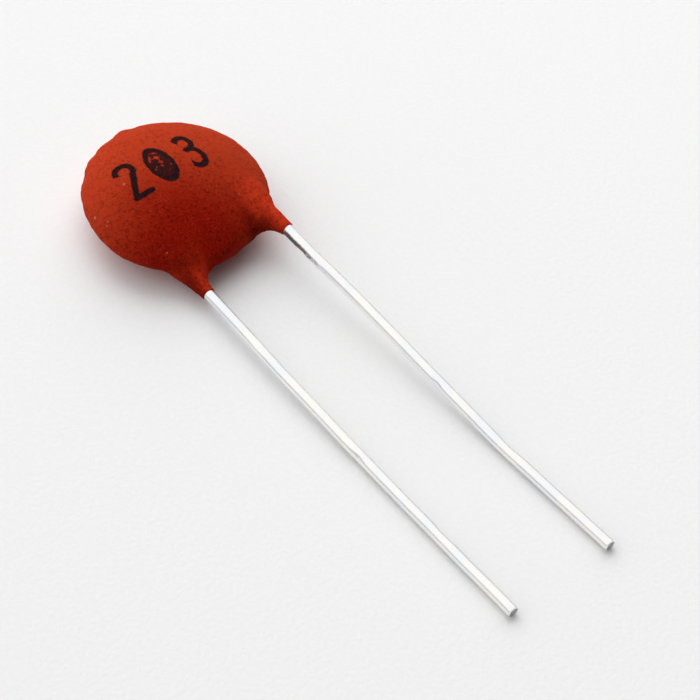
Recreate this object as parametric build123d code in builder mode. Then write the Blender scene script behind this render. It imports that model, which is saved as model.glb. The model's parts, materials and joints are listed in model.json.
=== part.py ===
from build123d import *
import os
from math import atan2, cos, radians, sin

# Ceramic disc capacitor with two radial wire leads, lying on its belly with the lead ends on the table.
# Lengths are in millimetres: X runs along the leads to their tips, Y across them and Z up.

# Ceramic disc and the silver layers fired onto its two faces
ceramic_diameter = 6.8
ceramic_thickness = 0.25
electrode_thickness = 0.02
electrode_margin = 0.2

# Wire leads, measured along X from the middle of the disc and across from the line between them
wire_diameter = 0.5
lead_pitch = 5.0
root_pitch = 4.42
lead_aside = 0.26
lead_reach = 23.36
right_knee_reach = 17.11
left_knee_reach = 16.11
knee_radius = 25.0
root_straight = 0.4
root_radius = 6.0
wire_end_back = 0.7

# Solder joints
solder_length = 2.0
solder_width = 1.0
solder_film = 0.03
solder_cover = 0.12
solder_slope_deg = 20.0

# Dipped coating
rim_coat = 0.5
crown_coat = 0.555
rim_radius = 0.6
right_run = 0.33
left_run = 0.83
run_film = 0.04
flare_length = 2.8
flare_half_width = 0.8
flare_half_height = 0.5
flare_sink = 0.1
flare_lean = 0.2
flare_fillet = 0.85
body_tilt_deg = 3.0

# Cross sections of a flare: place along it, and what is left there of the root's extra width and height
flare_place_shares = (0.0, 0.35, 0.7, 1.0)
flare_width_shares = (1.0, 0.72, 0.22, 0.0)
flare_height_shares = (1.0, 0.9, 0.45, 0.0)

# Sizes that follow, from the inside out
wire_radius = wire_diameter / 2
ceramic_radius = ceramic_diameter / 2
electrode_radius = ceramic_radius - electrode_margin
electrode_top = ceramic_thickness / 2 + electrode_thickness
wire_height = electrode_top + solder_film + wire_radius
solder_height = solder_film + wire_diameter + solder_cover
body_radius = ceramic_radius + rim_coat
half_thickness = electrode_top + solder_height + crown_coat
run_radius = wire_radius + run_film

# Each face of the body is one shallow dome that rolls smoothly into the round rim
rim_centre = body_radius - rim_radius
dome_rise = half_thickness - rim_radius
dome_radius = (rim_centre**2 + half_thickness**2 - rim_radius**2) / (2 * dome_rise)
dome_centre = dome_radius - half_thickness
rim_lean = atan2(dome_centre, rim_centre)
rim_start = Vector(rim_centre + rim_radius * cos(rim_lean), rim_radius * sin(rim_lean))

# The body lies on the dome of its lower face, a little down at the lead side
tilt = radians(body_tilt_deg)
body_height = dome_radius - dome_centre * cos(tilt)
body_back = rim_centre * cos(tilt) + rim_radius
body_x = (body_back - lead_reach) / 2
lying = Plane(
    origin=(body_x, 0, body_height),
    x_dir=(cos(tilt), 0, -sin(tilt)),
    z_dir=(sin(tilt), 0, cos(tilt)),
)
upright = Plane(lying.origin, x_dir=lying.x_dir, z_dir=-lying.y_dir)
upper_face = 1
lower_face = -1


def place(along, across, height):
    """Point in the disc's own frame: along the leads, across them and off the disc's middle plane."""
    return lying.from_local_coords((along, across, height))


def face_plane(face, height):
    """Plane at a height off the disc's middle, facing outwards on the upper or the lower side."""
    return Plane(place(0, 0, face * height), x_dir=lying.x_dir, z_dir=face * lying.z_dir)


def root_across(face):
    """How far across the disc a lead leaves the coating."""
    return lead_aside + face * root_pitch / 2


def make_electrode(face):
    """Silver layer fired onto one face of the ceramic disc."""
    with BuildPart() as electrode:
        with BuildSketch(face_plane(face, ceramic_thickness / 2)):
            Circle(electrode_radius)
        extrude(amount=electrode_thickness)
    return electrode.part


def make_lead(face, run, knee_reach):
    """Wire that lies on one electrode, leaves the coating, comes down to the table and lies along it."""
    height = face * wire_height
    root = place(body_radius + run + root_straight, root_across(face), height)
    tip = Vector(body_x + lead_reach, lead_aside + face * lead_pitch / 2, wire_radius)
    knee_x = body_x + knee_reach
    knee_y = root.Y + (tip.Y - root.Y) * (knee_x - root.X) / (tip.X - root.X)
    with BuildPart() as lead:
        with BuildLine() as route:
            FilletPolyline(
                place(-wire_end_back, root_across(face), height),
                root,
                (knee_x, knee_y, wire_radius),
                tip,
                radius=[root_radius, knee_radius],
            )
        with BuildSketch(Plane(route.line @ 0, z_dir=route.line % 0)):
            Circle(wire_radius)
        sweep(path=route.line)
    return lead.part


def make_solder(face, lead):
    """Mound of solder that holds the inner end of a lead on its electrode."""
    seat = place(0, root_across(face), face * electrode_top)
    with BuildPart() as solder:
        with BuildSketch(Plane(seat, x_dir=lying.x_dir, z_dir=face * lying.z_dir)):
            Rectangle(solder_length, solder_width)
        extrude(amount=solder_height, taper=solder_slope_deg)
        add(lead, mode=Mode.SUBTRACT)
    return solder.part


def flare_section(face, run, place_share, size_share):
    """Plane across a flare: on the wire at the flare's end, nearer the middle of the disc at its root."""
    along = body_radius + run - (1 - place_share) * flare_length
    across = root_across(face) - face * size_share * flare_lean
    height = face * (wire_height - size_share * flare_sink)
    return Plane(place(along, across, height), x_dir=lying.y_dir, z_dir=lying.x_dir)


# Dielectric
with BuildPart() as ceramic_disc:
    with BuildSketch(face_plane(upper_face, -ceramic_thickness / 2)):
        Circle(ceramic_radius)
    extrude(amount=ceramic_thickness)

upper_electrode = make_electrode(upper_face)
lower_electrode = make_electrode(lower_face)
right_lead = make_lead(upper_face, right_run, right_knee_reach)
left_lead = make_lead(lower_face, left_run, left_knee_reach)
upper_solder = make_solder(upper_face, right_lead)
lower_solder = make_solder(lower_face, left_lead)

# Coating: a domed body, drawn out along each lead in a flare that thins to a film on the wire
with BuildPart() as coating:
    with BuildSketch(upright):
        with BuildLine():
            upper_dome = TangentArc((0, half_thickness), rim_start, tangent=(1, 0))
            rim = TangentArc(rim_start, (rim_start.X, -rim_start.Y), tangent=upper_dome % 1)
            lower_dome = TangentArc(rim @ 1, (0, -half_thickness), tangent=rim % 1)
            Line(lower_dome @ 1, upper_dome @ 0)
        make_face()
    revolve(axis=Axis(lying.origin, lying.z_dir))
    for face, run in ((upper_face, right_run), (lower_face, left_run)):
        for place_share, width_share, height_share in zip(
            flare_place_shares, flare_width_shares, flare_height_shares
        ):
            with BuildSketch(flare_section(face, run, place_share, width_share)):
                Ellipse(
                    run_radius + width_share * (flare_half_width - run_radius),
                    run_radius + height_share * (flare_half_height - run_radius),
                )
        loft()
        fillet(coating.edges(Select.NEW), radius=flare_fillet)
    for filling in (
        ceramic_disc.part,
        upper_electrode,
        lower_electrode,
        upper_solder,
        lower_solder,
        right_lead,
        left_lead,
    ):
        add(filling, mode=Mode.SUBTRACT)

os.makedirs("parts", exist_ok=True)
for name, piece in (
    ("coating", coating.part),
    ("ceramic_disc", ceramic_disc.part),
    ("upper_electrode", upper_electrode),
    ("lower_electrode", lower_electrode),
    ("upper_solder", upper_solder),
    ("lower_solder", lower_solder),
    ("right_lead", right_lead),
    ("left_lead", left_lead),
):
    piece.label = name
    export_step(piece, f"parts/{name}.step")
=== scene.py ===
import json
import math

import bmesh
import bpy
import numpy as np
from mathutils import Matrix, Vector, noise
from mathutils.bvhtree import BVHTree


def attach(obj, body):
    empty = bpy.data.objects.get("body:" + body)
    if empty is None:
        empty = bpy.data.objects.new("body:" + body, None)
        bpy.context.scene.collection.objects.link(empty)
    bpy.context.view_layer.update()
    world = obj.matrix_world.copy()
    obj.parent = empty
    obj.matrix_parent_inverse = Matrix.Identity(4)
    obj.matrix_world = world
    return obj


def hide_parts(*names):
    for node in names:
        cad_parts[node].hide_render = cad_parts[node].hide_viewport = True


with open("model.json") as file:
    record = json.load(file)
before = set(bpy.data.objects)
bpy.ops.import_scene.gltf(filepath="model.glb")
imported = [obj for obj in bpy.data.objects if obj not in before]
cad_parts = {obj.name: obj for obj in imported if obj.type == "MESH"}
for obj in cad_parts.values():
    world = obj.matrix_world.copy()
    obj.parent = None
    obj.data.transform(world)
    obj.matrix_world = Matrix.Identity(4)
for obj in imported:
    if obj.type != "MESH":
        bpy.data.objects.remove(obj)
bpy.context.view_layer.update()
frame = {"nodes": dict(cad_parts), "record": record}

# Lengths are in millimetres and angles in degrees, unless a name says otherwise. A pair of values is a place
# where something starts and one where it is in full. A grain is the size of its blotches, its detail and how
# rough that detail is. A bump is its height and strength. Colours are linear.
MM = 0.001
noise_middle = 0.5

# Skin of the dipped coating
skin_voxel = 0.042
skin_smoothing = 6
weld_reach = 1e-5
cavity_reach = 0.02
cavity_facing = -0.5
rim_radius = 0.6
oval_stop_share = 0.998
least_radius = 0.01
lead_sector = (48, 66)
body_edge = 0.2
film_thicker = 0.004

# Flares on the leads: how much longer each is along its wire, how far it stands aside, and the share of its
# coat that is missing on its upper outer side
flare_shapes = {"left_lead": (0.0, 0.06, 0.0), "right_lead": (0.17, -0.08, 0.8)}
lead_half = (0.5, 1.5)
run_root = 0.6
bend_reach = 5.0
# The coat is missing outside this radius about the wire, most where it faces this far above level, and along
# the disc most at this place inside the body's edge
flare_core = 0.29
slim_rise = 30
slim_facing = (0.2, 0.9)
slim_inside = 0.5
slim_reach = 0.9
slim_start_shares = (0.5, 0.7)
# How far each lead leans aside inside the coating, and from where to where along the disc it comes back
lead_leans = {"left_lead": 0.0, "right_lead": -0.1}
lean_reach = (3.1, 4.4)

# Rim of the dried dip: angle from the leads and how far it stands out there, with straight stretches between
rim_outline = (
    (28, 0.0),
    (34, -0.05),
    (43, 0.0),
    (48, 0.1),
    (53, 0.0),
    (56, 0.02),
    (68, -0.01),
    (84, 0.01),
    (97, -0.03),
    (102, 0.02),
    (110, -0.02),
    (138, -0.02),
    (148, -0.08),
    (158, 0.0),
    (171, 0.01),
    (178, 0.19),
    (186, 0.0),
    (197, 0.07),
    (203, -0.03),
    (210, 0.07),
    (220, -0.07),
    (236, -0.01),
    (262, -0.02),
    (286, 0.08),
    (300, 0.07),
    (313, 0.08),
    (321, 0.15),
    (330, 0.0),
    (336, 0.0),
    (343, 0.13),
    (352, 0.0),
)
rim_corner = 0.9
rim_band = 0.9
rim_reach = 1.0
rim_ripple = 0.035
rim_ripple_size = 0.42
waist_depth = 0.12
waist_angle = 12
waist_half_width = 16
swell_height = 0.018
swell_size = 1.3
swell_shift = 7.0
peel_height = 0.008
peel_size = 0.15

# Colour of the coating: even, painted shade towards the leads, painted shade in the valley beside a lead,
# a thin coat on its wire lightened as a painted highlight, and painted shade under its flare
coat_even = (0.45, 0.039, 0.011, 1)
coat_painted_shade = (0.25, 0.004, 0.0005, 1)
coat_valley_shade = (0.16, 0.002, 0.0005, 1)
coat_thin_lit = (0.56, 0.036, 0.01, 1)
coat_flare_shade = (0.09, 0.0015, 0.0004, 1)
valley_shade_share = 0.55
thin_lit_share = 0.95
flare_shade_share = 0.85
# Middle of the painted shade on the upper face, and how far it reaches about that place
painted_shade_along = 3.2
painted_shade_across = -1.4
painted_shade_reach = (1.0, 5.4)
painted_shade_wander = 1.2
painted_shade_rise = (-0.8, 0.0)
# Places about each lead, along the disc and beside the lead, for its painted shade and painted highlight
valley_shade_beside = {"left_lead": -0.6, "right_lead": -0.95}
valley_shade_start = (2.5, 3.1)
valley_shade_end = (4.0, 4.6)
valley_shade_width = (0.1, 0.65)
thin_lit_reach = {"left_lead": (2.4, 4.8), "right_lead": (0.6, 2.8)}
thin_lit_beside = -0.1
thin_lit_width = (0.35, 1.0)
flare_shade_shift = {"left_lead": 0.0, "right_lead": -0.2}
flare_shade_start = (3.1, 3.9)
flare_shade_low_side = (-1.4, -0.9)
flare_shade_high_side = (-0.35, 0.1)

# Grain of the coating
patch_grain = (2.2, 2.0)
mottle_grain = (0.22, 4.0, 0.65)
mottle_blend = (0.42, 0.68)
mottle_colour = (0.17, 0.004, 0.001, 1)
mottle_share = 0.6
fine_grain = (0.07, 3.0, 0.7)
fine_blend = (0.47, 0.7)
fine_colour = (0.5, 0.036, 0.008, 1)
fine_share = 0.5
pit_grain = (0.11, 3.0, 0.6)
pit_blend = (0.56, 0.68)
pit_colour = (0.05, 0.002, 0.0006, 1)
pit_share = 0.55
cluster_grain = (1.1, 1.0)
cluster_blend = (0.3, 0.5)
coarse_least_share = 0.3
mottle_height_share = 0.6
fine_height_share = 0.5
pit_depth_share = 0.4
coat_bump = (0.07, 0.9)
coat_roughness = 0.7
coat_gloss = 0.03
mottle_rougher = 0.1
# Pale specks of dust on the coat: along the leads, across them, off the disc's middle and half width
specks = (
    (-0.59, -3.68, 0.40, 0.09),
    (0.02, -3.48, 0.61, 0.05),
    (0.11, -3.60, 0.52, 0.04),
    (-0.91, -2.01, 1.11, 0.07),
    (-0.76, -0.46, 1.31, 0.04),
    (2.62, -2.47, 0.52, 0.06),
    (2.10, 1.60, 0.99, 0.04),
)
speck_core_share = 0.5
speck_colour = (0.55, 0.27, 0.2, 1)
speck_share = 0.35

# Printed value on the upper face, in the disc's own plane
digit_height = 2.1
digit_pitch = 1.45
digit_width = 1.0
zero_wider = 1.3
digit_stroke = 0.27
print_along = -0.8
print_across = -0.22
print_lean = 2.0
print_rise = (0.2, 0.4)
# Open side of the two's bowl and of the three's bowls, and other places in those figures
two_mouth = (-0.42, -0.91)
two_mouth_share = 0.45
two_slope_shares = (0.64, 0.77)
three_mouth = (0.9, 0.43)
three_mouth_share = 0.6
three_upper_share = 0.44
three_upper_width_share = 0.9
three_waist_share = 0.3
# Ink: its colour, its uneven edge, and the inside of the zero that it flooded in blotches
ink_colour = (0.007, 0.004, 0.006, 1)
ink_smoother = 0.15
ink_edge = 0.03
ink_wobble = 0.1
ink_wobble_grain = (0.35, 2.0)
ink_ragged = 0.16
ink_ragged_grain = (0.06, 3.0, 0.7)
ink_worn_share = 0.1
ink_worn_blend = (0.35, 0.6)
flood_edge_shares = (0.8, 1.0)
flood_grain = (0.3, 3.0)
flood_blend = (0.33, 0.43)
flood_fall = 0.12
flood_share = 0.95

# Wires
wire_sides = 32
wire_step = 0.08
wire_end_margin = 0.3
tip_round = 0.05
tip_ring_shares = (0.3, 1.0)
wobble_height = 0.022
wobble_size = 2.4
# Dents of a wire: place along X, turn about the wire from +Y over the top, depth and half length
wire_dents = {
    "left_lead": (
        (4.7, 150, 0.05, 0.35),
        (9.4, 40, 0.03, 0.5),
        (-1.6, 110, 0.02, 0.4),
    ),
    "right_lead": (
        (-3.2, 190, -0.03, 0.12),
        (-4.2, 200, 0.04, 0.3),
        (3.95, 160, 0.045, 0.22),
        (7.9, 50, 0.03, 0.5),
    ),
}
dent_width = 38
tin_cool = (0.89, 0.9, 0.93, 1)
tin_warm = (0.96, 0.945, 0.9, 1)
tin_grain = (1.4, 3.0)
tin_blend = (0.35, 0.65)
tin_roughness = 0.12
tin_rougher = 0.16
tin_bump = (0.006, 0.5)
drawn_stretch = (0.08, 1, 1)
drawn_grain = (0.08, 3.0, 0.6)
drawn_height_share = 0.8
tin_fine_grain = (0.06, 2.0)
tin_fine_height_share = 0.3
# Painted shade and reflection of the body on the right wire: from and to along X, and the side of the wire
# that it is on
wire_shade_reach = (-5.3, -3.2)
wire_shade_side = (0.0, -0.85, -0.5)
wire_shade_near = (0.13, 0.2)
wire_shade_far = (0.4, 0.5)
wire_shade_start_shares = (-0.15, 0.0)
wire_shade_end_shares = (0.5, 1.1)
wire_shade_grain = (0.16, 3.0, 0.6)
wire_shade_ragged = 0.5
wire_shade_ragged_side_share = 0.3
wire_shade_ragged_end_share = 1.5
wire_shade_colour = (0.05, 0.025, 0.035, 1)
wire_shade_colour_share = 0.9
wire_shade_dull_share = 0.8
wire_shade_rougher = 0.3
cut_dark = (0.3, 0.31, 0.36, 1)
cut_light = (0.46, 0.46, 0.5, 1)
cut_grain = (0.05, 3.0, 0.6)
cut_metal_share = 0.7
cut_roughness = 0.45
cut_rougher = 0.2
cut_bump = (0.01, 0.6)

# Hidden pieces: light and dark colour, size of the grain, share of metal and roughness of each finish
inner_finishes = {
    "fired_ceramic": ((0.62, 0.5, 0.34, 1), (0.5, 0.38, 0.25, 1), 0.12, 0.0, 0.6),
    "fired_silver": ((0.88, 0.87, 0.84, 1), (0.72, 0.7, 0.66, 1), 0.06, 1.0, 0.4),
    "satin_solder": ((0.66, 0.66, 0.67, 1), (0.5, 0.5, 0.52, 1), 0.2, 1.0, 0.3),
}
inner_pieces = {
    "ceramic_disc": "fired_ceramic",
    "upper_electrode": "fired_silver",
    "lower_electrode": "fired_silver",
    "upper_solder": "satin_solder",
    "lower_solder": "satin_solder",
}
inner_detail = (4.0, 0.6)
inner_blend = (0.3, 0.7)
inner_rougher = 0.15
inner_bump = (0.01, 0.5)

# Stage
floor_size = 600
floor_dark = (0.87, 0.87, 0.87, 1)
floor_light = (0.89, 0.89, 0.89, 1)
floor_grain = (0.2, 3.0, 0.6)
floor_blend = (0.3, 0.7)
floor_roughness = 0.5
floor_gloss = 0.1
floor_bump = (0.03, 0.5)
key_direction = (-0.8, 0.65, 0.95)
key_distance = 300
key_size = 400
key_power = 0.61
sky_direction = (-0.9, -0.35, 0.45)
sky_spread = (-0.3, 1.0)
sky_bright = 1.42
sky_dim = 0.04
backdrop_white = 1.03
backdrop_horizon = 0.45
backdrop_rise = (0.0, 0.6)
white = (1, 1, 1, 1)

# Camera
view_azimuth = 44.942
view_elevation = 49.471
view_roll = 6.488
view_distance = 98.696
view_target = (0.4755, 0.9178, 0.5)
view_start = 1
focal_px = 2480.85
image_px = 700


# Shader maths


class Socket:
    """An output of a node, written as a number in an expression."""

    def __init__(self, shading, socket):
        self.shading = shading
        self.socket = socket

    def maths(self, operation, *others):
        values = dict(enumerate((self, *others)))
        return self.shading.node("ShaderNodeMath", {"operation": operation}, values)

    def __add__(self, other):
        return self.maths("ADD", other)

    def __sub__(self, other):
        return self.maths("SUBTRACT", other)

    def __mul__(self, other):
        return self.maths("MULTIPLY", other)

    def __truediv__(self, other):
        return self.maths("DIVIDE", other)

    def __radd__(self, other):
        return self.maths("ADD", other)

    def __rmul__(self, other):
        return self.maths("MULTIPLY", other)

    def __rsub__(self, other):
        return self.shading.node("ShaderNodeMath", {"operation": "SUBTRACT"}, {0: other, 1: self})

    def __abs__(self):
        return self.maths("ABSOLUTE")

    def least(self, other):
        return self.maths("MINIMUM", other)

    def most(self, other):
        return self.maths("MAXIMUM", other)

    def clamped(self):
        return self.most(0.0).least(1.0)

    def root(self):
        return self.maths("SQRT")

    def step(self, low, high):
        """Rises smoothly from 0 at low to 1 at high."""
        settings = {"interpolation_type": "SMOOTHSTEP"}
        sockets = {"Value": self, "From Min": low, "From Max": high}
        return self.shading.node("ShaderNodeMapRange", settings, sockets)


class Shading:
    """The node tree of a material or of the world."""

    def __init__(self, owner):
        self.owner = owner
        owner.use_nodes = True
        self.tree = owner.node_tree
        self.tree.nodes.clear()

    def node(self, kind, settings=None, sockets=None, output=0):
        """Any node: its settings are set first, then its sockets are given values or links."""
        node = self.tree.nodes.new(kind)
        for key, value in (settings or {}).items():
            setattr(node, key, value)
        for key, value in (sockets or {}).items():
            if isinstance(value, Socket):
                self.tree.links.new(value.socket, node.inputs[key])
            else:
                node.inputs[key].default_value = value
        return Socket(self, node.outputs[output]) if node.outputs else None

    def place(self, stretch=(1, 1, 1)):
        """Place on the part in millimetres, with each axis multiplied by its stretch."""
        spot = self.node("ShaderNodeTexCoord", output="Object")
        sizes = tuple(share / MM for share in stretch)
        return self.node("ShaderNodeVectorMath", {"operation": "MULTIPLY"}, {0: spot, 1: sizes})

    def along(self, place, origin, direction):
        """How far a place lies from an origin in a direction."""
        offset = self.node("ShaderNodeVectorMath", {"operation": "SUBTRACT"}, {0: place, 1: tuple(origin)})
        settings = {"operation": "DOT_PRODUCT"}
        return self.node("ShaderNodeVectorMath", settings, {0: offset, 1: tuple(direction)}, output="Value")

    def cloud(self, place, size, detail, roughness=0.5):
        """Soft noise from 0 to 1 with blotches of about the given size."""
        sockets = {"Vector": place, "Scale": 1 / size, "Detail": detail, "Roughness": roughness}
        return self.node("ShaderNodeTexNoise", {"noise_dimensions": "3D"}, sockets)

    def mix(self, share, first, second):
        """Colour between two colours."""
        sockets = {"Factor": share, 6: first, 7: second}
        return self.node("ShaderNodeMix", {"data_type": "RGBA"}, sockets, output=2)

    def bump(self, height, distance, strength):
        sockets = {"Height": height, "Distance": distance * MM, "Strength": strength}
        return self.node("ShaderNodeBump", sockets=sockets)

    def close(self, **sockets):
        """Puts the shader on the material. Its sockets' names have underscores for their spaces."""
        named = {key.replace("_", " "): value for key, value in sockets.items()}
        shader = self.node("ShaderNodeBsdfPrincipled", sockets=named)
        self.node("ShaderNodeOutputMaterial", sockets={"Surface": shader})
        return self.owner


def new_finish(name):
    return Shading(bpy.data.materials.new(name))


# Smooth curves and noise on arrays of points


def bell(values, half_width):
    return np.exp(-((values / half_width) ** 2))


def ramp(values, low, high):
    """Rises smoothly from 0 at low to 1 at high."""
    share = ((values - low) / (high - low)).clip(0, 1)
    return share * share * (3 - 2 * share)


def bumps(points, size):
    """Soft noise about 0 at each point, with bumps of about the given size."""
    return np.array([noise.noise(Vector(p)) for p in points / size])


def turn_from(angles, middle):
    """Angles about a middle angle, from -180 to 180."""
    return (angles - middle + 180) % 360 - 180


# Shapes read from the frame


def node_points(name):
    """Corners of a node's mesh, in millimetres."""
    mesh = frame["nodes"][name].data
    points = np.empty(len(mesh.vertices) * 3)
    mesh.vertices.foreach_get("co", points)
    return points.reshape(-1, 3) / MM


def disc_frame():
    """Middle of the ceramic disc, and its directions along the leads, across them and up from its face."""
    points = node_points("ceramic_disc")
    middle = (points.min(0) + points.max(0)) / 2
    up = np.linalg.svd(points - points.mean(0))[2][2]
    up *= np.sign(up[2])
    across = np.array((0.0, 1.0, 0.0))
    return middle, np.cross(across, up), across, up


disc_middle, disc_along, disc_across, disc_up = disc_frame()


def lead_root(name):
    """How far across the disc, and how far off its middle, a lead leaves the coating."""
    points = node_points(name) - disc_middle
    inner = points[points[:, 0] < 0]
    return (inner @ disc_across).mean(), (inner @ disc_up).mean()


def lead_lean(name, along):
    """How far a lead leans aside inside the coating, at each place along the disc."""
    return lead_leans[name] * (1 - ramp(along, *lean_reach))


def new_piece(name, points, faces, replaced):
    """A mesh piece of the part, from points in millimetres, that stands for a node of the frame."""
    mesh = bpy.data.meshes.new(name)
    mesh.from_pydata([tuple(p) for p in points * MM], [], faces)
    mesh.validate()
    mesh.shade_smooth()
    piece = bpy.data.objects.new(name, mesh)
    bpy.context.scene.collection.objects.link(piece)
    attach(piece, "root")
    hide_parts(replaced)
    return piece


# Dipped coating


def outer_skin():
    """The coating's outer surface as even small faces, without its cavity and with its wire holes closed."""
    fillings = []
    for name in (*inner_pieces, *flare_shapes):
        mesh = frame["nodes"][name].data
        polygons = [tuple(p.vertices) for p in mesh.polygons]
        fillings.append(BVHTree.FromPolygons([v.co / MM for v in mesh.vertices], polygons))
    skin = bmesh.new()
    skin.from_mesh(frame["nodes"]["coating"].data)
    bmesh.ops.scale(skin, vec=(1 / MM,) * 3, verts=skin.verts)
    bmesh.ops.remove_doubles(skin, verts=skin.verts, dist=weld_reach)
    skin.normal_update()
    cavity = []
    for face in skin.faces:
        centre = face.calc_center_median()
        for filling in fillings:
            _, normal, _, distance = filling.find_nearest(centre)
            if distance < cavity_reach and normal.dot(face.normal) < cavity_facing:
                cavity.append(face)
                break
    bmesh.ops.delete(skin, geom=cavity, context="FACES")
    bmesh.ops.holes_fill(skin, edges=[e for e in skin.edges if e.is_boundary], sides=0)
    mesh = bpy.data.meshes.new("skin_rough")
    skin.to_mesh(mesh)
    skin.free()
    rough = bpy.data.objects.new("skin_rough", mesh)
    bpy.context.scene.collection.objects.link(rough)
    remesh = rough.modifiers.new("even", "REMESH")
    remesh.mode = "VOXEL"
    remesh.voxel_size = skin_voxel
    even = bpy.data.meshes.new_from_object(rough.evaluated_get(bpy.context.evaluated_depsgraph_get()))
    bpy.data.objects.remove(rough)
    bpy.data.meshes.remove(mesh)
    points = np.empty(len(even.vertices) * 3)
    even.vertices.foreach_get("co", points)
    points = points.reshape(-1, 3)
    edges = np.array([e.vertices for e in even.edges])
    faces = [tuple(p.vertices) for p in even.polygons]
    bpy.data.meshes.remove(even)
    return points, edges, faces


def smoothed(points, edges, rounds):
    """Points moved half way to the mean of their neighbours, a few times over."""
    count = np.bincount(edges.ravel(), minlength=len(points))[:, None]
    for _ in range(rounds):
        total = np.zeros_like(points)
        np.add.at(total, edges[:, 0], points[edges[:, 1]])
        np.add.at(total, edges[:, 1], points[edges[:, 0]])
        points = (points + total / count) / 2
    return points


def normals_of(points, faces):
    """Outward direction at each point of a mesh of four-sided faces."""
    quads = np.array(faces)
    cross = np.cross(points[quads[:, 2]] - points[quads[:, 0]], points[quads[:, 3]] - points[quads[:, 1]])
    normals = np.zeros_like(points)
    for corner in range(4):
        np.add.at(normals, quads[:, corner], cross)
    return normals / np.linalg.norm(normals, axis=1, keepdims=True)


def rim_height(angle):
    """How far the rim stands out at each angle, with its corners a little rounded."""
    places, heights = zip(*rim_outline)
    turns = (angle - rim_corner, angle, angle + rim_corner)
    return sum(np.interp(turn, places, heights, period=360) for turn in turns) / len(turns)


def oval_share(radius, body_radius, half_thickness):
    """What a height is multiplied by at each radius, so that the body's dome and rim become one oval."""
    rim_middle = body_radius - rim_radius
    dome = (rim_middle**2 + half_thickness**2 - rim_radius**2) / (2 * (half_thickness - rim_radius))
    place = radius.clip(0, oval_stop_share * body_radius)
    on_dome = np.sqrt(dome**2 - place**2) - dome + half_thickness
    on_rim = np.sqrt(rim_radius**2 - (place - rim_middle).clip(0) ** 2)
    arcs = np.where(place < rim_middle * dome / (dome - rim_radius), on_dome, on_rim)
    return half_thickness * np.sqrt(1 - (place / body_radius) ** 2) / arcs


def flared(points, along, across, body_radius):
    """Points with each flare's longer run, its stand aside and its slim upper outer side."""
    slim = math.radians(slim_rise)
    slim_start, slim_full = (share * body_radius for share in slim_start_shares)
    for name, (longer, aside, slimmer) in flare_shapes.items():
        root, rise = lead_root(name)
        side = np.sign(root)
        on_lead = ramp(side * across, *lead_half)
        beside = across - root - lead_lean(name, along)
        above = (points - disc_middle) @ disc_up - rise
        off_wire = np.hypot(beside, above).clip(least_radius)
        facing = (side * beside * math.cos(slim) + above * math.sin(slim)) / off_wire
        spare = (1 - flare_core / off_wire).clip(0) * ramp(facing, *slim_facing)
        reach = ramp(along, body_radius - run_root, along[side * across > 0].max())
        flank = bell(along - body_radius + slim_inside, slim_reach) * ramp(along, slim_start, slim_full)
        inward = slimmer * flank * spare
        points = points + disc_along * (on_lead * longer * reach)[:, None]
        points = points + disc_across * (on_lead * (aside * reach - inward * beside))[:, None]
        points = points - disc_up * (on_lead * inward * above)[:, None]
    return points


def make_coating():
    points, edges, faces = outer_skin()
    points = smoothed(points, edges, skin_smoothing)
    local = points - disc_middle
    along, across, height = local @ disc_along, local @ disc_across, local @ disc_up
    radius = np.hypot(along, across)
    angle = np.degrees(np.arctan2(across, along))
    solid = node_points("coating") - disc_middle
    body_radius = solid[:, 1].max()
    outward = along[:, None] * disc_along + across[:, None] * disc_across
    outward = outward / radius[:, None].clip(least_radius)

    # Section: one oval, which leaves the coat on the leads as thick as it is
    oval = oval_share(radius, body_radius, (solid @ disc_up).max())
    thinner = (oval - 1).clip(max=0) * ramp(abs(angle), *lead_sector)
    points = points + disc_up * (height * ((oval - 1).clip(0) + thinner))[:, None]
    points = flared(points, along, across, body_radius)

    # Rim: corners and a fine ripple, fading out towards the middle of each face and along the leads
    at_rim = ((radius - body_radius) / rim_band + 1).clip(0, 1) ** 2 * bell(radius - body_radius, rim_reach)
    ripple = rim_ripple * bumps(points, rim_ripple_size)
    waist = waist_depth * bell(turn_from(angle, waist_angle), waist_half_width) ** 2
    points = points + outward * (at_rim * (rim_height(angle) + ripple - waist))[:, None]

    # Faces: slow swells and the fine peel of a dried dip, and the film on the wires
    normals = normals_of(points, faces)
    on_body = 1 - ramp(along, body_radius - body_edge, body_radius + body_edge)
    swell = swell_height * bumps(points + swell_shift, swell_size) * on_body
    peel = peel_height * bumps(points, peel_size)
    film = film_thicker * (1 - on_body)
    points = points + normals * (swell + peel + film)[:, None]
    skin = new_piece("coating_skin", points, faces, "coating")
    skin.data.materials.append(coating_finish())


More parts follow.
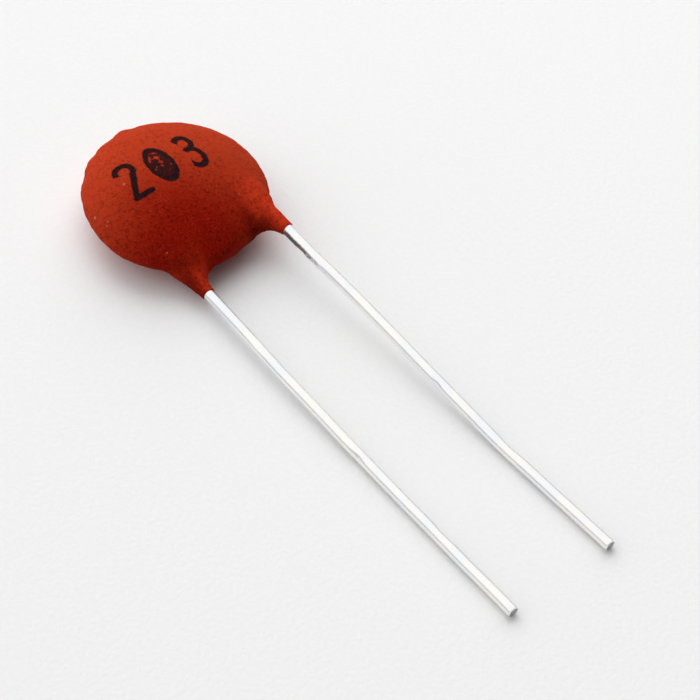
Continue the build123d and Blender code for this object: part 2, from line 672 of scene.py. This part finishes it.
def print_mask(finish, place):
    """Ink of the printed value: 1 on a stroke, 0 off it, with edges that follow the grain of the coating."""
    lean = math.radians(print_lean)
    reading = math.cos(lean) * disc_across + math.sin(lean) * disc_along
    upward = math.sin(lean) * disc_across - math.cos(lean) * disc_along
    origin = disc_middle + print_along * disc_along + print_across * disc_across
    wobble = (finish.cloud(place, *ink_wobble_grain) - noise_middle) * ink_wobble
    x = finish.along(place, origin, reading) + wobble
    y = finish.along(place, origin, upward) - wobble
    top = digit_height / 2 - digit_stroke / 2
    side = digit_width / 2 - digit_stroke / 2

    def stroke(px, start, end):
        """Distance from a straight stroke."""
        run = (end[0] - start[0], end[1] - start[1])
        square = run[0] ** 2 + run[1] ** 2
        dx = px - start[0]
        dy = y - start[1]
        share = ((dx * run[0] + dy * run[1]) / square).clamped()
        ex = dx - share * run[0]
        ey = dy - share * run[1]
        return (ex * ex + ey * ey).root()

    def oval(px, middle, width, height):
        """Distance from an oval stroke, and the place in it as shares of its half width and half height."""
        across = (px - middle[0]) / width
        up = (y - middle[1]) / height
        return abs((across * across + up * up).root() - 1) * ((width + height) / 2), across, up

    def opened(ring, across, up, direction, share):
        """An oval stroke cut off on one side."""
        return ring.most((across * direction[0] + up * direction[1] - share) * side + digit_stroke / 2)

    def two(px):
        bowl_middle = (0.0, top - side)
        bowl = opened(*oval(px, bowl_middle, side, side), two_mouth, two_mouth_share)
        slope_right, slope_down = (share * side for share in two_slope_shares)
        slope = stroke(px, (slope_right, bowl_middle[1] - slope_down), (-side, -top))
        foot = stroke(px, (-side, -top), (side, -top))
        return bowl.least(slope).least(foot)

    def three(px):
        upper_size = three_upper_share * top
        lower_size = top - upper_size
        mouth_left, mouth_up = three_mouth
        upper = oval(px, (0.0, top - upper_size), three_upper_width_share * side, upper_size)
        upper = opened(*upper, (-mouth_left, -mouth_up), three_mouth_share)
        lower = oval(px, (0.0, lower_size - top), side, lower_size)
        lower = opened(*lower, (-mouth_left, mouth_up), three_mouth_share)
        waist = top - 2 * upper_size
        waist_half = three_waist_share * side
        return upper.least(lower).least(stroke(px, (-waist_half, waist), (waist_half, waist)))

    zero, across, up = oval(x, (0.0, 0.0), zero_wider * side, top)
    ragged = (finish.cloud(place, *ink_ragged_grain) - noise_middle) * ink_ragged
    distance = two(x + digit_pitch).least(zero).least(three(x - digit_pitch)) + ragged
    ink = 1 - distance.step(digit_stroke / 2 - ink_edge, digit_stroke / 2 + ink_edge)
    inside = 1 - (across * across + up * up).step(*flood_edge_shares)
    flooded = inside * (finish.cloud(place, *flood_grain) - up * flood_fall).step(*flood_blend)
    upper_face = finish.along(place, disc_middle, disc_up).step(*print_rise)
    return ink.most(flooded * flood_share) * upper_face


def painted_shade_mask(finish, place, along, across):
    """Painted shade on the upper face, darkest towards the leads: 1 where it is darkest, 0 where the coat is
    even.
    """
    x = along - painted_shade_along
    y = across - painted_shade_across
    wander = (finish.cloud(place, *patch_grain) - noise_middle) * painted_shade_wander
    painted_shade = 1 - ((x * x + y * y).root() + wander).step(*painted_shade_reach)
    return painted_shade * finish.along(place, disc_middle, disc_up).step(*painted_shade_rise)


def coat_about_leads(finish, body, along, across):
    """Coat about each lead: painted shade beside it and under its flare, and its thin film with a painted
    highlight.
    """
    for name, (_, aside, _) in flare_shapes.items():
        beside = across - lead_root(name)[0] - aside
        # Painted shade in the valley beside the lead
        valley = 1 - abs(beside - valley_shade_beside[name]).step(*valley_shade_width)
        valley_shade = along.step(*valley_shade_start) * (1 - along.step(*valley_shade_end)) * valley
        body = finish.mix(valley_shade * valley_shade_share, body, coat_valley_shade)
        # Thin coat over the wire, lightened as a painted highlight along the lit top of the flare
        thin_lit = along.step(*thin_lit_reach[name]) * (1 - abs(beside - thin_lit_beside).step(*thin_lit_width))
        body = finish.mix(thin_lit * thin_lit_share, body, coat_thin_lit)
        # Painted shade on the lower side of the flare
        below = beside - flare_shade_shift[name]
        lower_side = below.step(*flare_shade_low_side) * (1 - below.step(*flare_shade_high_side))
        flare_shade = (along - flare_shade_shift[name]).step(*flare_shade_start) * lower_side
        body = finish.mix(flare_shade * flare_shade_share, body, coat_flare_shade)
    return body


def coating_finish():
    finish = new_finish("dipped_coating")
    place = finish.place()
    along = finish.along(place, disc_middle, disc_along)
    across = finish.along(place, disc_middle, disc_across)
    # Painted shade: the coat darker towards the leads on the upper face
    painted_shade = painted_shade_mask(finish, place, along, across)
    body = finish.mix(painted_shade, coat_even, coat_painted_shade)
    body = coat_about_leads(finish, body, along, across)

    # Grain: coarser where the painted shade is
    mottle = finish.cloud(place, *mottle_grain)
    fine = finish.cloud(place, *fine_grain)
    clusters = finish.cloud(place, *cluster_grain).step(*cluster_blend)
    pits = finish.cloud(place, *pit_grain).step(*pit_blend) * clusters
    coarse = coarse_least_share + painted_shade * (1 - coarse_least_share)
    body = finish.mix(mottle.step(*mottle_blend) * coarse * mottle_share, body, mottle_colour)
    body = finish.mix(fine.step(*fine_blend) * fine_share, body, fine_colour)
    body = finish.mix(pits * coarse * pit_share, body, pit_colour)

    # Print and dust
    worn = 1 - ink_worn_share + ink_worn_share * fine.step(*ink_worn_blend)
    ink = print_mask(finish, place) * worn
    colour = finish.mix(ink, body, ink_colour)
    for *spot, size in specks:
        middle = disc_middle + np.array(spot) @ (disc_along, disc_across, disc_up)
        ends = {0: place, 1: tuple(middle)}
        away = finish.node("ShaderNodeVectorMath", {"operation": "DISTANCE"}, ends, output="Value")
        speck = 1 - (away + (fine - noise_middle) * size).step(speck_core_share * size, size)
        colour = finish.mix(speck * speck_share, colour, speck_colour)
    height = mottle * mottle_height_share + fine * fine_height_share - pits * pit_depth_share
    return finish.close(
        Base_Color=colour,
        Roughness=coat_roughness - ink * ink_smoother + mottle * mottle_rougher,
        Specular_IOR_Level=coat_gloss,
        Normal=finish.bump(height, *coat_bump),
    )


# Wires


def wire_route(name):
    """Middle of a wire at even steps along X, read from its node, with its two ends."""
    mesh = frame["nodes"][name].data
    points = node_points(name)
    edges = np.array([e.vertices for e in mesh.edges])
    start, end = points[edges[:, 0]], points[edges[:, 1]]
    low, high = points[:, 0].min() + wire_end_margin, points[:, 0].max() - wire_end_margin
    middles = []
    for station in np.linspace(low, high, round((high - low) / wire_step) + 1):
        crossing = (start[:, 0] - station) * (end[:, 0] - station) < 0
        share = (station - start[crossing, 0]) / (end[crossing, 0] - start[crossing, 0])
        cut = start[crossing] + share[:, None] * (end[crossing] - start[crossing])
        middles.append((cut.min(0) + cut.max(0)) / 2)
    middles = np.array(middles)
    first = middles[0] + (middles[0] - middles[1]) / wire_step * wire_end_margin
    last = middles[-1] + (middles[-1] - middles[-2]) / wire_step * wire_end_margin
    return np.vstack([first, middles, last])


def make_wire(name, piece_name, finish, cut_finish):
    """A wire with the slight bends and dents of handling, and a sheared end."""
    route = wire_route(name)
    radius = frame["record"]["mounts"][0]["dims"]["r_mm"]
    steps = np.gradient(route, axis=0)
    tangents = steps / np.linalg.norm(steps, axis=1, keepdims=True)
    sides = np.cross((0.0, 0.0, 1.0), tangents)
    sides /= np.linalg.norm(sides, axis=1, keepdims=True)
    ups = np.cross(tangents, sides)
    coat_end = node_points("coating")[:, 0].max()
    free = ((route[:, 0] - coat_end) / wobble_size).clip(0, 1)
    aside = flare_shapes[name][1] * (1 - ramp(route[:, 0], coat_end, coat_end + bend_reach))
    aside = aside + lead_lean(name, (route - disc_middle) @ disc_along)
    route = route + sides * (wobble_height * free * bumps(route, wobble_size) + aside)[:, None]
    turns = np.linspace(0, 360, wire_sides, endpoint=False)
    rings = []
    for middle, side, up in zip(route, sides, ups):
        dent = sum(
            depth * bell(middle[0] - place, length) * bell(turn_from(turns, turn), dent_width)
            for place, turn, depth, length in wire_dents[name]
        )
        reach = (radius - dent)[:, None]
        angles = np.radians(turns)[:, None]
        rings.append(middle + reach * (np.cos(angles) * side + np.sin(angles) * up))
    tip, tip_middle, forward = rings[-1], route[-1], tangents[-1]
    rings[-1] = tip - forward * tip_round
    for share in tip_ring_shares:
        shrunk = tip_middle + (tip - tip_middle) * (1 - share * tip_round / radius)
        rings.append(shrunk - forward * tip_round * (1 - share) ** 2)
    points = np.vstack(rings)
    count = len(rings)
    faces = []
    for ring in range(count - 1):
        for side in range(wire_sides):
            next_side = (side + 1) % wire_sides
            low, high = ring * wire_sides, (ring + 1) * wire_sides
            faces.append((low + side, low + next_side, high + next_side, high + side))
    faces.append(tuple(range(wire_sides))[::-1])
    faces.append(tuple(range((count - 1) * wire_sides, count * wire_sides)))
    wire = new_piece(piece_name, points, faces, name)
    wire.data.materials.append(finish)
    wire.data.materials.append(cut_finish)
    cut_face = wire.data.polygons[-1]
    cut_face.material_index = 1
    cut_face.use_smooth = False


def wire_shade_mask(finish, place):
    """Painted shade and reflection of the body on one side of the right wire: 1 on it, 0 off it, with a
    ragged edge.
    """
    route = wire_route("right_lead")
    start, end = (route[abs(route[:, 0] - x).argmin()] for x in wire_shade_reach)
    length = np.linalg.norm(end - start)
    tangent = (end - start) / length
    flank = np.array(wire_shade_side) - np.dot(wire_shade_side, tangent) * tangent
    flank /= np.linalg.norm(flank)
    ragged = (finish.cloud(place, *wire_shade_grain) - noise_middle) * wire_shade_ragged
    stretch = finish.along(place, start, tangent) / length + ragged
    aside = finish.along(place, start, flank)
    near = (aside + ragged * wire_shade_ragged_side_share).step(*wire_shade_near)
    far = aside.step(*wire_shade_far)
    begun = stretch.step(*wire_shade_start_shares)
    ended = (stretch + ragged * wire_shade_ragged_end_share).step(*wire_shade_end_shares)
    return near * (1 - far) * begun * (1 - ended)


def wire_finish():
    finish = new_finish("tinned_wire")
    place = finish.place()
    patches = finish.cloud(place, *tin_grain)
    drawn = finish.cloud(finish.place(drawn_stretch), *drawn_grain)
    fine = finish.cloud(place, *tin_fine_grain)
    # Painted shade and reflection of the body on a lower side of the right wire, made dark and dull
    wire_shade = wire_shade_mask(finish, place)
    colour = finish.mix(patches.step(*tin_blend), tin_cool, tin_warm)
    colour = finish.mix(wire_shade * wire_shade_colour_share, colour, wire_shade_colour)
    height = drawn * drawn_height_share + fine * tin_fine_height_share + patches
    return finish.close(
        Base_Color=colour,
        Metallic=1 - wire_shade * wire_shade_dull_share,
        Roughness=tin_roughness + patches * tin_rougher + wire_shade * wire_shade_rougher,
        Normal=finish.bump(height, *tin_bump),
    )


def cut_wire_finish():
    finish = new_finish("cut_wire")
    grain = finish.cloud(finish.place(), *cut_grain)
    return finish.close(
        Base_Color=finish.mix(grain, cut_dark, cut_light),
        Metallic=cut_metal_share,
        Roughness=cut_roughness + grain * cut_rougher,
        Normal=finish.bump(grain, *cut_bump),
    )


# Hidden pieces inside the coating


def inner_finish(name, light, dark, size, metal_share, roughness):
    finish = new_finish(name)
    grain = finish.cloud(finish.place(), size, *inner_detail)
    return finish.close(
        Base_Color=finish.mix(grain.step(*inner_blend), dark, light),
        Metallic=metal_share,
        Roughness=roughness + grain * inner_rougher,
        Normal=finish.bump(grain, *inner_bump),
    )


def dress_inner_pieces():
    finishes = {name: inner_finish(name, *looks) for name, looks in inner_finishes.items()}
    for piece, finish_name in inner_pieces.items():
        mesh = frame["nodes"][piece].data
        mesh.materials.clear()
        mesh.materials.append(finishes[finish_name])


# Stage


def floor_finish():
    finish = new_finish("white_tabletop")
    grain = finish.cloud(finish.place(), *floor_grain)
    return finish.close(
        Base_Color=finish.mix(grain.step(*floor_blend), floor_dark, floor_light),
        Roughness=floor_roughness,
        Specular_IOR_Level=floor_gloss,
        Normal=finish.bump(grain, *floor_bump),
    )


def make_floor():
    mesh = bpy.data.meshes.new("floor")
    half = floor_size / 2 * MM
    corners = [(-half, -half, 0), (half, -half, 0), (half, half, 0), (-half, half, 0)]
    mesh.from_pydata(corners, [], [(0, 1, 2, 3)])
    mesh.materials.append(floor_finish())
    floor = bpy.data.objects.new("floor", mesh)
    bpy.context.scene.collection.objects.link(floor)


def make_key_light():
    """A large soft lamp behind the part, which the wires don't mirror."""
    towards = Vector(key_direction).normalized()
    lamp = bpy.data.lights.new("key", "AREA")
    lamp.shape = "DISK"
    lamp.size = key_size * MM
    lamp.energy = key_power
    key = bpy.data.objects.new("key", lamp)
    key.location = towards * key_distance * MM
    key.rotation_euler = towards.to_track_quat("Z", "Y").to_euler()
    key.visible_glossy = False
    bpy.context.scene.collection.objects.link(key)


def make_sky():
    """A sky that glows on one side as light, and is a white backdrop where it is seen or mirrored."""
    sky = Shading(bpy.data.worlds.new("soft_studio"))
    bpy.context.scene.world = sky.owner
    direction = sky.node("ShaderNodeTexCoord", output="Generated")
    glow = sky.along(direction, (0, 0, 0), Vector(sky_direction).normalized()).step(*sky_spread)
    rise = sky.along(direction, (0, 0, 0), (0, 0, 1)).step(*backdrop_rise)
    shown = sky.node("ShaderNodeLightPath", output="Is Camera Ray")
    for ray in ("Is Glossy Ray", "Is Transmission Ray"):
        shown = shown.most(sky.node("ShaderNodeLightPath", output=ray))
    lit = sky_dim + glow * (sky_bright - sky_dim)
    backdrop = backdrop_horizon + rise * (backdrop_white - backdrop_horizon)
    strength = lit + shown * (backdrop - lit)
    surface = sky.node("ShaderNodeBackground", sockets={"Color": white, "Strength": strength})
    sky.node("ShaderNodeOutputWorld", sockets={"Surface": surface})


def make_camera():
    azimuth, elevation, roll = (math.radians(v) for v in (view_azimuth, view_elevation, view_roll))
    back = Vector(
        (
            math.sin(azimuth) * math.cos(elevation),
            -math.cos(azimuth) * math.cos(elevation),
            math.sin(elevation),
        )
    )
    level = Vector((math.cos(azimuth), math.sin(azimuth), 0))
    upright = back.cross(level)
    right = math.cos(roll) * level + math.sin(roll) * upright
    up = -math.sin(roll) * level + math.cos(roll) * upright
    data = bpy.data.cameras.new("camera")
    data.sensor_fit = "HORIZONTAL"
    data.lens = focal_px / image_px * data.sensor_width
    data.clip_start = view_start * MM
    camera = bpy.data.objects.new("camera", data)
    turn = Matrix((right, up, back)).transposed().to_4x4()
    camera.matrix_world = Matrix.Translation((Vector(view_target) + back * view_distance) * MM) @ turn
    bpy.context.scene.collection.objects.link(camera)
    bpy.context.scene.camera = camera


make_coating()
tinned = wire_finish()
sheared = cut_wire_finish()
make_wire("left_lead", "left_wire", tinned, sheared)
make_wire("right_lead", "right_wire", tinned, sheared)
dress_inner_pieces()
make_floor()
make_key_light()
make_sky()
make_camera()
bpy.context.scene.view_settings.view_transform = "Standard"
